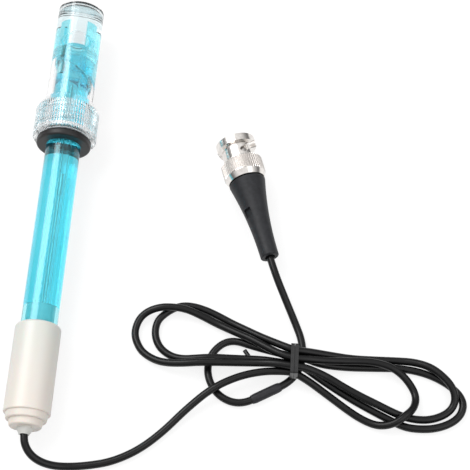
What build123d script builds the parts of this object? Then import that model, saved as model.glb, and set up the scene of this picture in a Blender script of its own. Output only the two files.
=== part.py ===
from build123d import *
from math import atan2, cos, degrees, pi, radians, sin, sqrt, tan
import os

# A pH electrode lying on a bench, its tip in a clear storage bottle, with a
# thin cable that is bundled, tied and ends in a bayonet plug.
# Origin: on the bench, under the middle of the electrode. +Y runs from the
# handle to the tip. Stations along the electrode are measured from the first
# step of the handle's tail, towards the tip. All lengths are in millimetres.

# Driving dimensions: electrode
tube_radius = 6.0
tube_wall = 1.2
tube_seat_station = 14.0
joint_station = 130.2
cap_wall = 1.45
cap_length = 29.5
cap_rim_flat = 0.25
cap_chamber_wall = 2.4
tail_step_1_depth = 0.65
tail_step_2_depth = 1.35
tail_band_length = 2.2
tail_band_taper = 0.35
tail_end_round = 0.7
tail_middle_round = 0.5
tail_front_round = 0.4
tail_wall = 2.6
neck_root_radius = 2.6
neck_root_band = 0.5
neck_tip_radius = 1.65
neck_length = 2.2
neck_stem_radius = 2.0
neck_collar_radius = 3.4
neck_collar_thickness = 1.0
guard_collar_length = 4.8
guard_spigot_length = 6.0
guard_groove_count = 4
guard_groove_depth = 0.25
guard_groove_width = 0.4
guard_groove_pitch = 1.05
prong_length = 10.5
prong_wall = 1.3
prong_slot_width = 5.2
prong_tip_chamfer = 0.5
guard_turn = 8.0
stem_radius = 2.0
stem_wall = 0.55
stem_rear_station = 12.0
bulb_radius = 3.6
bulb_end_gap = 3.1
seal_wall = 0.6
seal_length = 5.0
stem_plug_length = 4.0
bung_station = 22.0
bung_length = 14.0
inner_wire_radius = 0.2
coated_tip_radius = 0.45
coated_tip_length = 8.0
inner_wire_end = 120.0
reference_wire_radius = 0.25
reference_wire_offset = 3.4
reference_wire_start = 18.0
reference_wire_end = 86.0
junction_radius = 0.6
junction_offset = 3.9
junction_turn = 48.0
lead_core_radius = 0.7

# Driving dimensions: storage bottle, screw cap and their seals
washer_inset = 1.6
washer_thickness = 2.6
washer_station = 96.3
washer_round = 0.7
screw_cap_wall = 2.35
screw_cap_band = 11.1
screw_cap_floor = 1.6
screw_cap_cone = 3.0
screw_cap_lip = 0.6
screw_cap_edge = 0.5
rib_count = 72
rib_depth = 0.45
bottle_room = 1.1
bottle_wall = 1.1
bottle_base = 1.3
bottle_base_round = 0.9
bottle_base_recess = 0.5
bottle_base_rim = 1.5
bottle_end_station = 153.2
gland_thickness = 1.4
thread_gap = 0.45

# Driving dimensions: cable, sleeve on it and tie
cable_radius = 1.25
shrink_wall = 0.35
cable_seat_depth = 2.2
cable_exit_straight = 1.0
plug_straight = 7.5
bundle_width = 9.2
bundle_centre_y = -49.8
bundle_start_x = 77.0
bundle_end_x = 92.0
strand_layers = 2
tie_width = 1.2
tie_thickness = 0.5
tie_slack = 0.05
tie_start_x = 82.0
tie_turn_count = 2
tie_turn_gap = 0.1
tie_corner_round = 0.75
tie_stub_radius = 0.72

# Driving dimensions: bayonet plug, stations measured from the boot's thin end
boot_length = 29.7
boot_overlap = 5.5
boot_thin_radius = 3.15
boot_front_wall = 2.1
boot_waist_radius = 4.5
boot_waist_distance = 10.4
boot_edge_round = 0.5
boot_mouth_gap = 0.5
boot_mouth_depth = 1.5
boot_notch_distance = 12.8
boot_notch_length = 3.2
boot_notch_width = 3.0
boot_notch_depth = 1.1
boot_notch_turn = -50.0
core_radius = 1.1
ferrule_radius = 2.9
ferrule_wall = 0.35
ferrule_length = 11.2
ferrule_gap = 0.2
crimp_neck_length = 8.0
plug_body_radius = 4.3
plug_body_length = 10.6
plug_back_wall = 2.5
shoulder_step = 1.3
shoulder_thickness = 1.0
contact_radius = 4.05
contact_wall = 0.6
contact_length = 8.9
contact_slit_width = 0.4
contact_slit_length = 3.9
contact_slit_count = 4
insulator_shelf = 2.1
insulator_nose_radius = 2.2
insulator_nose_length = 3.0
pin_radius = 0.675
pin_barrel_radius = 1.0
pin_recess = 0.6
pin_point = 0.4
gasket_thickness = 0.9
gasket_seat_step = 0.3
coupling_gap = 0.3
coupling_rear_wall = 1.7
coupling_chamfer_length = 2.2
coupling_chamfer_depth = 0.9
knurl_wall = 0.65
coupling_front_web = 1.5
knurl_count = 56
knurl_depth = 0.18
shell_wall = 0.75
shell_length = 5.8
flange_thickness = 2.6
flange_height = 1.55
flange_flank = 0.5
bayonet_room = 0.85
shoulder_room = 0.5
coupling_stop_gap = 0.2
retaining_ring_thickness = 0.9
retaining_ring_grip = 0.5
spring_thickness = 0.5
spring_width = 1.0
spring_gap_angle = 40.0
bayonet_slot_width = 2.1
bayonet_slot_count = 2
bayonet_start_turn = 15.0
bayonet_end_turn = 85.0
bayonet_start_distance = 2.7
bayonet_rise = 3.6
bayonet_step_count = 6
detent_radius = 1.15

# Fits
running_fit = 0.06
seat_fit = 0.05
loose_fit = 0.3
past_face = 5.0

# Shares of the pitch that a rib takes at its root and at its tip
rib_root_share = 0.64
rib_tip_share = 0.28

# Radii of the pieces that go round one another, from the inside outwards
tube_bore = tube_radius - tube_wall
tube_socket_radius = tube_radius + seat_fit
cap_radius = tube_socket_radius + cap_wall
tail_step_1_radius = cap_radius - tail_step_1_depth
tail_step_2_radius = tail_step_1_radius - tail_step_2_depth
bottle_bore = tube_radius + bottle_room
bottle_radius = bottle_bore + bottle_wall
screw_cap_radius = bottle_radius + thread_gap + screw_cap_wall
washer_radius = screw_cap_radius - washer_inset
boot_thick_radius = plug_body_radius + seat_fit + boot_front_wall
shoulder_radius = plug_body_radius + shoulder_step
coupling_bore_radius = contact_radius + bayonet_room
shell_radius = coupling_bore_radius + shell_wall
flange_radius = shell_radius + flange_height
coupling_cavity_radius = shoulder_radius + shoulder_room
retaining_outer_radius = coupling_cavity_radius + retaining_ring_grip
knurl_radius = retaining_outer_radius + knurl_wall

# The handle cap and the wider screw cap both rest on the bench, so the
# electrode leans by the difference of their radii over their distance.
screw_cap_station = washer_station + washer_thickness
rest_tilt = atan2(screw_cap_radius - cap_radius, screw_cap_station + screw_cap_edge)
tilt_cos = cos(rest_tilt)
tilt_sin = sin(rest_tilt)
tail_end_station = -2 * tail_band_length
neck_end_station = tail_end_station - neck_length
rear_reach = neck_end_station * tilt_cos - neck_tip_radius * tilt_sin
front_reach = bottle_end_station * tilt_cos + (bottle_radius - bottle_base_round) * tilt_sin

shaft_direction = Vector(0, tilt_cos, tilt_sin)
shaft_origin = Vector(0, -(rear_reach + front_reach) / 2, cap_radius * tilt_cos)
shaft_axis = Axis(shaft_origin, shaft_direction)
# Profiles of turned pieces: local X is the radius, local Y the station.
shaft_profile = Plane(origin=shaft_origin, x_dir=(1, 0, 0), z_dir=(0, -tilt_sin, tilt_cos))


def across_shaft(station):
    """The plane square to the electrode: local X to the left, local Y up."""
    origin = shaft_origin + shaft_direction * station
    return Plane(origin=origin, x_dir=(-1, 0, 0), z_dir=shaft_direction)


# The plug lies level on its knurled band and its front flange.
plug_origin = Vector(73.7, -13.7, knurl_radius)
plug_heading = radians(108.1)
plug_direction = Vector(cos(plug_heading), sin(plug_heading), 0)
plug_right = Vector(sin(plug_heading), -cos(plug_heading), 0)
plug_axis = Axis(plug_origin, plug_direction)
plug_profile = Plane(origin=plug_origin, x_dir=plug_right, z_dir=(0, 0, 1))


def across_plug(station):
    """The plane square to the plug: local X to its left, local Y up."""
    return Plane(
        origin=plug_origin + plug_direction * station,
        x_dir=plug_right * -1,
        z_dir=plug_direction,
    )


def beside_plug(station, turn, reach):
    """A plane facing outwards; turn 0 is the top, positive turns to the right."""
    lean = radians(turn)
    spoke = plug_right * sin(lean) + Vector(0, 0, cos(lean))
    return Plane(
        origin=plug_origin + plug_direction * station + spoke * reach,
        x_dir=plug_right * cos(lean) - Vector(0, 0, sin(lean)),
        z_dir=spoke,
    )


def ribbed_outline(root, tip, count):
    """The corners of a wheel of flat-topped ribs, in order round the circle."""
    pitch = 2 * pi / count
    corners = []
    for rib in range(count):
        for radius, share in (
            (root, -rib_root_share / 2),
            (tip, -rib_tip_share / 2),
            (tip, rib_tip_share / 2),
            (root, rib_root_share / 2),
        ):
            angle = (rib + share) * pitch
            corners.append((radius * cos(angle), radius * sin(angle)))
    return corners


os.makedirs("parts", exist_ok=True)

# Body tube: one blue tube from its seat in the handle to the guard
with BuildPart() as body_tube:
    with BuildSketch(across_shaft(tube_seat_station)):
        Circle(tube_radius)
        Circle(tube_bore, mode=Mode.SUBTRACT)
    extrude(amount=joint_station - tube_seat_station)
body_tube.part.label = "body_tube"
export_step(body_tube.part, "parts/body_tube.step")

# Bulb guard: spigot, bulkhead, grooved collar and four prongs in one moulding
guard_base_station = joint_station + guard_collar_length
guard_end_station = guard_base_station + prong_length
spigot_station = joint_station - guard_spigot_length
seal_bore_radius = stem_radius + seal_wall
junction_spot = (
    junction_offset * sin(radians(junction_turn)),
    junction_offset * cos(radians(junction_turn)),
)
with BuildPart() as bulb_guard:
    with BuildSketch(shaft_profile):
        with BuildLine():
            Polyline(
                (seal_bore_radius, spigot_station),
                (tube_bore - seat_fit, spigot_station),
                (tube_bore - seat_fit, joint_station),
                (tube_radius, joint_station),
                (tube_radius, guard_end_station - prong_tip_chamfer),
                (tube_radius - prong_tip_chamfer, guard_end_station),
                (tube_radius - prong_wall, guard_end_station),
                (tube_radius - prong_wall, guard_base_station),
                (seal_bore_radius, guard_base_station),
                close=True,
            )
        make_face()
        for groove in range(guard_groove_count):
            groove_station = joint_station + (groove + 0.5) * guard_groove_pitch
            with Locations((tube_radius, groove_station)):
                Rectangle(2 * guard_groove_depth, guard_groove_width, mode=Mode.SUBTRACT)
    revolve(axis=shaft_axis)
    with BuildSketch(across_shaft(guard_base_station)):
        Rectangle(3 * tube_radius, prong_slot_width, rotation=guard_turn)
        Rectangle(prong_slot_width, 3 * tube_radius, rotation=guard_turn)
    extrude(amount=prong_length + past_face, mode=Mode.SUBTRACT)
    with BuildSketch(across_shaft(spigot_station - past_face)):
        with Locations(junction_spot):
            Circle(junction_radius + seat_fit)
    extrude(amount=2 * past_face + guard_spigot_length + guard_collar_length, mode=Mode.SUBTRACT)
bulb_guard.part.label = "bulb_guard"
export_step(bulb_guard.part, "parts/bulb_guard.step")

# Reference junction: a porous pin through the guard's bulkhead
with BuildPart() as reference_junction:
    with BuildSketch(across_shaft(spigot_station)):
        with Locations(junction_spot):
            Circle(junction_radius)
    extrude(amount=guard_spigot_length + guard_collar_length)
reference_junction.part.label = "reference_junction"
export_step(reference_junction.part, "parts/reference_junction.step")

# Glass bulb: stem and bulb blown as one piece
bulb_station = guard_end_station - bulb_end_gap - bulb_radius
stem_bore = stem_radius - stem_wall
bulb_bore = bulb_radius - stem_wall
outer_root = bulb_station - sqrt(bulb_radius**2 - stem_radius**2)
inner_root = bulb_station - sqrt(bulb_bore**2 - stem_bore**2)
with BuildPart() as glass_bulb:
    with BuildSketch(shaft_profile):
        with BuildLine():
            Line((stem_radius, stem_rear_station), (stem_radius, outer_root))
            ThreePointArc(
                (stem_radius, outer_root),
                (bulb_radius, bulb_station),
                (0, bulb_station + bulb_radius),
            )
            Line((0, bulb_station + bulb_radius), (0, bulb_station + bulb_bore))
            ThreePointArc(
                (0, bulb_station + bulb_bore),
                (bulb_bore, bulb_station),
                (stem_bore, inner_root),
            )
            Line((stem_bore, inner_root), (stem_bore, stem_rear_station))
            Line((stem_bore, stem_rear_station), (stem_radius, stem_rear_station))
        make_face()
    revolve(axis=shaft_axis)
glass_bulb.part.label = "glass_bulb"
export_step(glass_bulb.part, "parts/glass_bulb.step")

# Bulb seal: rubber ring between the stem and the guard's bulkhead
with BuildPart() as bulb_seal:
    with BuildSketch(across_shaft(guard_base_station - seal_length)):
        Circle(seal_bore_radius - seat_fit)
        Circle(stem_radius + seat_fit, mode=Mode.SUBTRACT)
    extrude(amount=seal_length)
bulb_seal.part.label = "bulb_seal"
export_step(bulb_seal.part, "parts/bulb_seal.step")

# Stem plug: stopper in the rear end of the glass stem
with BuildPart() as stem_plug:
    with BuildSketch(across_shaft(stem_rear_station)):
        Circle(stem_bore - seat_fit)
        Circle(inner_wire_radius + seat_fit, mode=Mode.SUBTRACT)
    extrude(amount=stem_plug_length)
stem_plug.part.label = "stem_plug"
export_step(stem_plug.part, "parts/stem_plug.step")

# Inner wire: silver wire with its coated tip, inside the stem
with BuildPart() as inner_wire:
    with BuildSketch(across_shaft(stem_rear_station)):
        Circle(inner_wire_radius)
    extrude(amount=inner_wire_end - stem_rear_station)
    with BuildSketch(across_shaft(inner_wire_end - coated_tip_length)):
        Circle(coated_tip_radius)
    extrude(amount=coated_tip_length)
inner_wire.part.label = "inner_wire"
export_step(inner_wire.part, "parts/inner_wire.step")

# Rear bung: seals the filling in the tube, round the stem and the second wire
wire_spot = (0, -reference_wire_offset)
with BuildPart() as rear_bung:
    with BuildSketch(across_shaft(bung_station)):
        Circle(tube_bore - seat_fit)
        Circle(stem_radius + seat_fit, mode=Mode.SUBTRACT)
        with Locations(wire_spot):
            Circle(reference_wire_radius + seat_fit, mode=Mode.SUBTRACT)
    extrude(amount=bung_length)
rear_bung.part.label = "rear_bung"
export_step(rear_bung.part, "parts/rear_bung.step")

# Reference wire: silver wire below the stem
with BuildPart() as reference_wire:
    with BuildSketch(across_shaft(reference_wire_start)):
        with Locations(wire_spot):
            Circle(reference_wire_radius)
    extrude(amount=reference_wire_end - reference_wire_start)
    with BuildSketch(across_shaft(reference_wire_end - coated_tip_length)):
        with Locations(wire_spot):
            Circle(coated_tip_radius)
    extrude(amount=coated_tip_length)
reference_wire.part.label = "reference_wire"
export_step(reference_wire.part, "parts/reference_wire.step")

# Handle cap: white moulding with a rounded rim and a stepped tail
chamber_radius = cap_radius - cap_chamber_wall
chamber_station = tail_end_station + tail_wall
neck_hole_radius = neck_stem_radius + seat_fit
with BuildPart() as handle_cap:
    with BuildSketch(shaft_profile) as cap_profile:
        with BuildLine():
            Polyline(
                (neck_hole_radius, tail_end_station),
                (tail_step_2_radius - tail_band_taper, tail_end_station),
                (tail_step_2_radius, -tail_band_length),
                (tail_step_1_radius - tail_band_taper, -tail_band_length),
                (tail_step_1_radius, 0),
                (cap_radius, 0),
                (cap_radius, cap_length),
                (tube_socket_radius, cap_length),
                (tube_socket_radius, tube_seat_station),
                (chamber_radius, tube_seat_station),
                (chamber_radius, chamber_station),
                (neck_hole_radius, chamber_station),
                close=True,
            )
        make_face()
        rim_corner = cap_profile.vertices().sort_by_distance((cap_radius, cap_length))[0]
        fillet(rim_corner, cap_wall - cap_rim_flat)
        for radius, station, corner_round in (
            (tail_step_2_radius - tail_band_taper, tail_end_station, tail_end_round),
            (tail_step_1_radius - tail_band_taper, -tail_band_length, tail_middle_round),
            (cap_radius, 0, tail_front_round),
        ):
            tail_corner = cap_profile.vertices().sort_by_distance((radius, station))[0]
            fillet(tail_corner, corner_round)
    revolve(axis=shaft_axis)
handle_cap.part.label = "handle_cap"
export_step(handle_cap.part, "parts/handle_cap.step")

# Strain relief: collar inside the handle, tapered neck outside
cable_end_station = neck_end_station + cable_seat_depth
core_hole_radius = lead_core_radius + seat_fit
with BuildPart() as strain_relief:
    with BuildSketch(shaft_profile):
        with BuildLine():
            Polyline(
                (cable_radius + seat_fit, neck_end_station),
                (neck_tip_radius, neck_end_station),
                (neck_root_radius, tail_end_station - neck_root_band),
                (neck_root_radius, tail_end_station),
                (neck_stem_radius, tail_end_station),
                (neck_stem_radius, chamber_station),
                (neck_collar_radius, chamber_station),
                (neck_collar_radius, chamber_station + neck_collar_thickness),
                (core_hole_radius, chamber_station + neck_collar_thickness),
                (core_hole_radius, cable_end_station),
                (cable_radius + seat_fit, cable_end_station),
                close=True,
            )
        make_face()
    revolve(axis=shaft_axis)
strain_relief.part.label = "strain_relief"
export_step(strain_relief.part, "parts/strain_relief.step")

# Lead core: the cable's insulated core, from the strain relief to the stem
with BuildPart() as lead_core:
    with BuildSketch(across_shaft(cable_end_station)):
        Circle(lead_core_radius)
    extrude(amount=stem_rear_station - cable_end_station)
lead_core.part.label = "lead_core"
export_step(lead_core.part, "parts/lead_core.step")

# Seal washer: rubber washer that grips the tube behind the screw cap
seal_inner_radius = tube_radius + running_fit
with BuildPart() as seal_washer:
    with BuildSketch(across_shaft(washer_station)):
        Circle(washer_radius)
        Circle(seal_inner_radius, mode=Mode.SUBTRACT)
    extrude(amount=washer_thickness)
    outer_edges = seal_washer.edges().filter_by(GeomType.CIRCLE).group_by(SortBy.RADIUS)[-1]
    fillet(outer_edges, washer_round)
seal_washer.part.label = "seal_washer"
export_step(seal_washer.part, "parts/seal_washer.step")

# Gland ring: rubber ring that the bottle's mouth presses on the tube
gland_station = screw_cap_station + screw_cap_floor
mouth_station = gland_station + gland_thickness
with BuildPart() as gland_ring:
    with BuildSketch(across_shaft(gland_station)):
        Circle(bottle_radius)
        Circle(seal_inner_radius, mode=Mode.SUBTRACT)
    extrude(amount=gland_thickness)
gland_ring.part.label = "gland_ring"
export_step(gland_ring.part, "parts/gland_ring.step")

# Bottle cap: clear screw cap with ribs, a floor and a cone round the bottle
rib_root_radius = screw_cap_radius - rib_depth
band_end_station = screw_cap_station + screw_cap_band
cone_end_station = band_end_station + screw_cap_cone
cone_hole_radius = bottle_radius + loose_fit
cap_hole_radius = tube_radius + loose_fit
with BuildPart() as bottle_cap:
    with BuildSketch(across_shaft(screw_cap_station)):
        with BuildLine():
            Polyline(*ribbed_outline(rib_root_radius, screw_cap_radius, rib_count), close=True)
        make_face()
    extrude(amount=screw_cap_band + screw_cap_cone)
    with BuildSketch(shaft_profile):
        with BuildLine():
            Polyline(
                (cap_hole_radius, screw_cap_station),
                (screw_cap_radius - screw_cap_edge, screw_cap_station),
                (screw_cap_radius, screw_cap_station + screw_cap_edge),
                (screw_cap_radius, band_end_station - screw_cap_edge),
                (cone_hole_radius + screw_cap_lip, cone_end_station),
                (cone_hole_radius, cone_end_station),
                (cone_hole_radius, band_end_station),
                (bottle_radius + thread_gap, band_end_station - screw_cap_edge),
                (bottle_radius + thread_gap, gland_station),
                (cap_hole_radius, gland_station),
                close=True,
            )
        make_face()
    revolve(axis=shaft_axis, mode=Mode.INTERSECT)
bottle_cap.part.label = "bottle_cap"
export_step(bottle_cap.part, "parts/bottle_cap.step")

# Storage bottle: clear, with a rounded end and a shallow recess in its base
base_recess_radius = bottle_radius - bottle_base_rim
with BuildPart() as storage_bottle:
    with BuildSketch(shaft_profile) as bottle_profile:
        with BuildLine():
            Polyline(
                (bottle_bore, mouth_station),
                (bottle_radius, mouth_station),
                (bottle_radius, bottle_end_station),
                (base_recess_radius, bottle_end_station),
                (base_recess_radius, bottle_end_station - bottle_base_recess),
                (0, bottle_end_station - bottle_base_recess),
                (0, bottle_end_station - bottle_base_recess - bottle_base),
                (bottle_bore, bottle_end_station - bottle_base_recess - bottle_base),
                close=True,
            )
        make_face()
        base_corner = bottle_profile.vertices().sort_by_distance((bottle_radius, bottle_end_station))[0]
        fillet(base_corner, bottle_base_round)
    revolve(axis=shaft_axis)
storage_bottle.part.label = "storage_bottle"
export_step(storage_bottle.part, "parts/storage_bottle.step")

# Plug boot: moulded rubber, hollow for the ferrule and the plug's rear
plug_body_station = boot_length - boot_overlap
ferrule_station = plug_body_station - ferrule_gap - ferrule_length
ferrule_pocket_radius = ferrule_radius + seat_fit
with BuildPart() as plug_boot:
    with BuildSketch(plug_profile) as boot_profile:
        with BuildLine():
            Spline(
                (boot_thin_radius, 0),
                (boot_waist_radius, boot_length - boot_waist_distance),
                (boot_thick_radius, boot_length),
            )
            Polyline(
                (boot_thick_radius, boot_length),
                (plug_body_radius + seat_fit, boot_length),
                (plug_body_radius + seat_fit, plug_body_station),
                (ferrule_pocket_radius, plug_body_station),
                (ferrule_pocket_radius, ferrule_station),
                (core_radius + seat_fit, ferrule_station),
                (core_radius + seat_fit, boot_mouth_depth),
                (cable_radius + boot_mouth_gap, boot_mouth_depth),
                (cable_radius + boot_mouth_gap, 0),
                (boot_thin_radius, 0),
            )
        make_face()
        for radius, station in ((boot_thin_radius, 0), (boot_thick_radius, boot_length)):
            boot_corner = boot_profile.vertices().sort_by_distance((radius, station))[0]
            fillet(boot_corner, boot_edge_round)
    revolve(axis=plug_axis)
    notch_station = boot_length - boot_notch_distance
    notch_floor = boot_waist_radius - boot_notch_depth
    with BuildSketch(beside_plug(notch_station, boot_notch_turn, notch_floor)):
        Rectangle(boot_notch_width, boot_notch_length)
    extrude(amount=past_face, mode=Mode.SUBTRACT)
plug_boot.part.label = "plug_boot"
export_step(plug_boot.part, "parts/plug_boot.step")

# Cable core: the stripped cable inside the boot, up to the insulator
insulator_station = plug_body_station + plug_back_wall
with BuildPart() as cable_core:
    with BuildSketch(across_plug(boot_mouth_depth)):
        Circle(core_radius)
    extrude(amount=insulator_station - boot_mouth_depth)
cable_core.part.label = "cable_core"
export_step(cable_core.part, "parts/cable_core.step")

# Crimp ferrule: metal tube over the plug's rear neck
ferrule_bore = ferrule_radius - ferrule_wall
with BuildPart() as crimp_ferrule:
    with BuildSketch(across_plug(ferrule_station)):
        Circle(ferrule_radius)
        Circle(ferrule_bore, mode=Mode.SUBTRACT)
    extrude(amount=ferrule_length)
crimp_ferrule.part.label = "crimp_ferrule"
export_step(crimp_ferrule.part, "parts/crimp_ferrule.step")

# Plug body: neck, barrel, shoulder and slit outer contact turned as one piece
shoulder_station = plug_body_station + plug_body_length
contact_station = shoulder_station + shoulder_thickness
contact_end_station = contact_station + contact_length
contact_bore = contact_radius - contact_wall
gasket_seat_radius = contact_radius - gasket_seat_step
core_bore = core_radius + seat_fit
with BuildPart() as plug_body:
    with BuildSketch(plug_profile):
        with BuildLine():
            Polyline(
                (core_bore, plug_body_station - crimp_neck_length),
                (ferrule_bore - seat_fit, plug_body_station - crimp_neck_length),
                (ferrule_bore - seat_fit, plug_body_station),
                (plug_body_radius, plug_body_station),
                (plug_body_radius, shoulder_station),
                (shoulder_radius, shoulder_station),
                (shoulder_radius, contact_station),
                (gasket_seat_radius, contact_station),
                (gasket_seat_radius, contact_station + gasket_thickness),
                (contact_radius, contact_station + gasket_thickness),
                (contact_radius, contact_end_station),
                (contact_bore, contact_end_station),
                (contact_bore, insulator_station),
                (core_bore, insulator_station),
                close=True,
            )
        make_face()
    revolve(axis=plug_axis)
    with BuildSketch(across_plug(contact_end_station - contact_slit_length)):
        for slit in range(contact_slit_count // 2):
            Rectangle(3 * contact_radius, contact_slit_width, rotation=45 + slit * 90)
    extrude(amount=contact_slit_length + past_face, mode=Mode.SUBTRACT)
plug_body.part.label = "plug_body"
export_step(plug_body.part, "parts/plug_body.step")

# Plug insulator: stepped white bush that holds the pin
insulator_face = contact_station + insulator_shelf
nose_end_station = insulator_face + insulator_nose_length
pin_bore = pin_barrel_radius + seat_fit
with BuildPart() as plug_insulator:
    with BuildSketch(plug_profile):
        with BuildLine():
            Polyline(
                (pin_bore, insulator_station),
                (contact_bore - seat_fit, insulator_station),
                (contact_bore - seat_fit, insulator_face),
                (insulator_nose_radius, insulator_face),
                (insulator_nose_radius, nose_end_station),
                (pin_bore, nose_end_station),
                close=True,
            )
        make_face()
    revolve(axis=plug_axis)
plug_insulator.part.label = "plug_insulator"
export_step(plug_insulator.part, "parts/plug_insulator.step")

# Centre pin: barrel in the insulator, then the thinner pin with its point
pin_end_station = contact_end_station - pin_recess
with BuildPart() as centre_pin:
    with BuildSketch(plug_profile):
        with BuildLine():
            Polyline(
                (0, insulator_station),
                (pin_barrel_radius, insulator_station),
                (pin_barrel_radius, nose_end_station),
                (pin_radius, nose_end_station),
                (pin_radius, pin_end_station - pin_point),
                (pin_radius - pin_point, pin_end_station),
                (0, pin_end_station),
                close=True,
            )
        make_face()
    revolve(axis=plug_axis)
centre_pin.part.label = "centre_pin"
export_step(centre_pin.part, "parts/centre_pin.step")

# Face gasket: rubber ring in front of the shoulder
with BuildPart() as face_gasket:
    with BuildSketch(across_plug(contact_station)):
        Circle(coupling_bore_radius - loose_fit)
        Circle(gasket_seat_radius + seat_fit, mode=Mode.SUBTRACT)
    extrude(amount=gasket_thickness)
face_gasket.part.label = "face_gasket"
export_step(face_gasket.part, "parts/face_gasket.step")

# Spring washer: open ring behind the shoulder
spring_bore = plug_body_radius + seat_fit
spring_mouth = 2 * tan(radians(spring_gap_angle / 2)) * spring_bore
with BuildPart() as spring_washer:
    with BuildSketch(across_plug(shoulder_station - spring_thickness)):
        Circle(spring_bore + spring_width)
        Circle(spring_bore, mode=Mode.SUBTRACT)
        with Locations((0, -spring_bore)):
            Rectangle(spring_mouth, 2 * spring_width + spring_thickness, mode=Mode.SUBTRACT)
    extrude(amount=spring_thickness)
spring_washer.part.label = "spring_washer"
export_step(spring_washer.part, "parts/spring_washer.step")

# Retaining ring: sits in the coupling's groove and runs on the plug's barrel
coupling_station = boot_length + coupling_gap
retaining_station = coupling_station + coupling_rear_wall + 2 * running_fit
with BuildPart() as retaining_ring:
    with BuildSketch(across_plug(retaining_station)):
        Circle(retaining_outer_radius)
        Circle(plug_body_radius + running_fit, mode=Mode.SUBTRACT)
    extrude(amount=retaining_ring_thickness)
retaining_ring.part.label = "retaining_ring"
export_step(retaining_ring.part, "parts/retaining_ring.step")

# Coupling sleeve: chamfer, knurled band, shell with two bayonet slots, flange
cavity_station = coupling_station + coupling_rear_wall
cavity_end_station = contact_station + coupling_stop_gap
groove_end_station = retaining_station + retaining_ring_thickness + 2 * running_fit
knurl_station = coupling_station + coupling_chamfer_length
knurl_end_station = cavity_end_station + coupling_front_web
flange_station = knurl_end_station + shell_length
coupling_end_station = flange_station + flange_thickness
bayonet_start_station = knurl_end_station + bayonet_start_distance
bayonet_end_station = bayonet_start_station + bayonet_rise
with BuildPart() as coupling_sleeve:
    with BuildSketch(across_plug(coupling_station)):
        with BuildLine():
            Polyline(*ribbed_outline(knurl_radius - knurl_depth, knurl_radius, knurl_count), close=True)
        make_face()
    extrude(amount=coupling_end_station - coupling_station)
    with BuildSketch(plug_profile):
        with BuildLine():
            Polyline(
                (plug_body_radius + running_fit, coupling_station),
                (knurl_radius - coupling_chamfer_depth, coupling_station),
                (knurl_radius - knurl_depth, knurl_station - knurl_depth),
                (knurl_radius, knurl_station),
                (knurl_radius, knurl_end_station),
                (shell_radius, knurl_end_station + flange_flank),
                (shell_radius, flange_station - flange_flank),
                (flange_radius - knurl_depth, flange_station),
                (flange_radius - knurl_depth, coupling_end_station),
                (coupling_bore_radius, coupling_end_station),
                (coupling_bore_radius, cavity_end_station),
                (coupling_cavity_radius, cavity_end_station),
                (coupling_cavity_radius, groove_end_station),
                (retaining_outer_radius + running_fit, groove_end_station),
                (retaining_outer_radius + running_fit, cavity_station),
                (plug_body_radius + running_fit, cavity_station),
                close=True,
            )
        make_face()
    revolve(axis=plug_axis, mode=Mode.INTERSECT)
    slot_radius = (shell_radius + coupling_bore_radius) / 2
    step_turn = (bayonet_end_turn - bayonet_start_turn) / bayonet_step_count
    step_rise = bayonet_rise / bayonet_step_count
    step_arc = radians(step_turn) * slot_radius
    for side in range(bayonet_slot_count):
        side_turn = side * 360 / bayonet_slot_count
        for step in range(bayonet_step_count):
            step_middle = step + 0.5
            spot_turn = side_turn + bayonet_start_turn + step_middle * step_turn
            spot_station = bayonet_start_station + step_middle * step_rise
            with BuildSketch(beside_plug(spot_station, spot_turn, slot_radius / 2)):
                SlotCenterToCenter(
                    sqrt(step_arc**2 + step_rise**2),
                    bayonet_slot_width,
                    rotation=degrees(atan2(step_rise, step_arc)),
                )
            extrude(amount=flange_radius, mode=Mode.SUBTRACT)
        entry_turn = side_turn + bayonet_end_turn
        with BuildSketch(beside_plug(bayonet_end_station, entry_turn, slot_radius / 2)):
            with Locations((0, past_face / 2)):
                Rectangle(bayonet_slot_width, past_face)
        extrude(amount=flange_radius, mode=Mode.SUBTRACT)
        detent_turn = side_turn + bayonet_start_turn
        with BuildSketch(beside_plug(bayonet_start_station, detent_turn, slot_radius / 2)):
            Circle(detent_radius)
        extrude(amount=flange_radius, mode=Mode.SUBTRACT)
coupling_sleeve.part.label = "coupling_sleeve"
export_step(coupling_sleeve.part, "parts/coupling_sleeve.step")


# Cable: straight runs joined by arcs as large as the runs allow


def corner_radii(points):
    """One radius for each corner: 0.45 of the shorter run over tan of half the turn."""
    radii = []
    for index in range(1, len(points) - 1):
        run_in = points[index] - points[index - 1]
        run_out = points[index + 1] - points[index]
        shorter = min(run_in.length, run_out.length)
        radii.append(0.45 * shorter / tan(radians(run_in.get_angle(run_out)) / 2))
    return radii


def cable_run(label, points, radii, radius):
    """A round tube along the points, checked against its section times its length."""
    with BuildPart() as tube:
        with BuildLine() as route:
            FilletPolyline(*points, radius=radii)
        with BuildSketch(Plane(origin=points[0], z_dir=points[1] - points[0])):
            Circle(radius)
        sweep()
    length = route.wires()[0].length
    share = tube.part.volume / (pi * radius**2 * length)
    print(label, "length", round(length, 1), "volume share", round(share, 4))
    print(label, "radii", [round(value, 1) for value in radii])
    return tube


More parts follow.
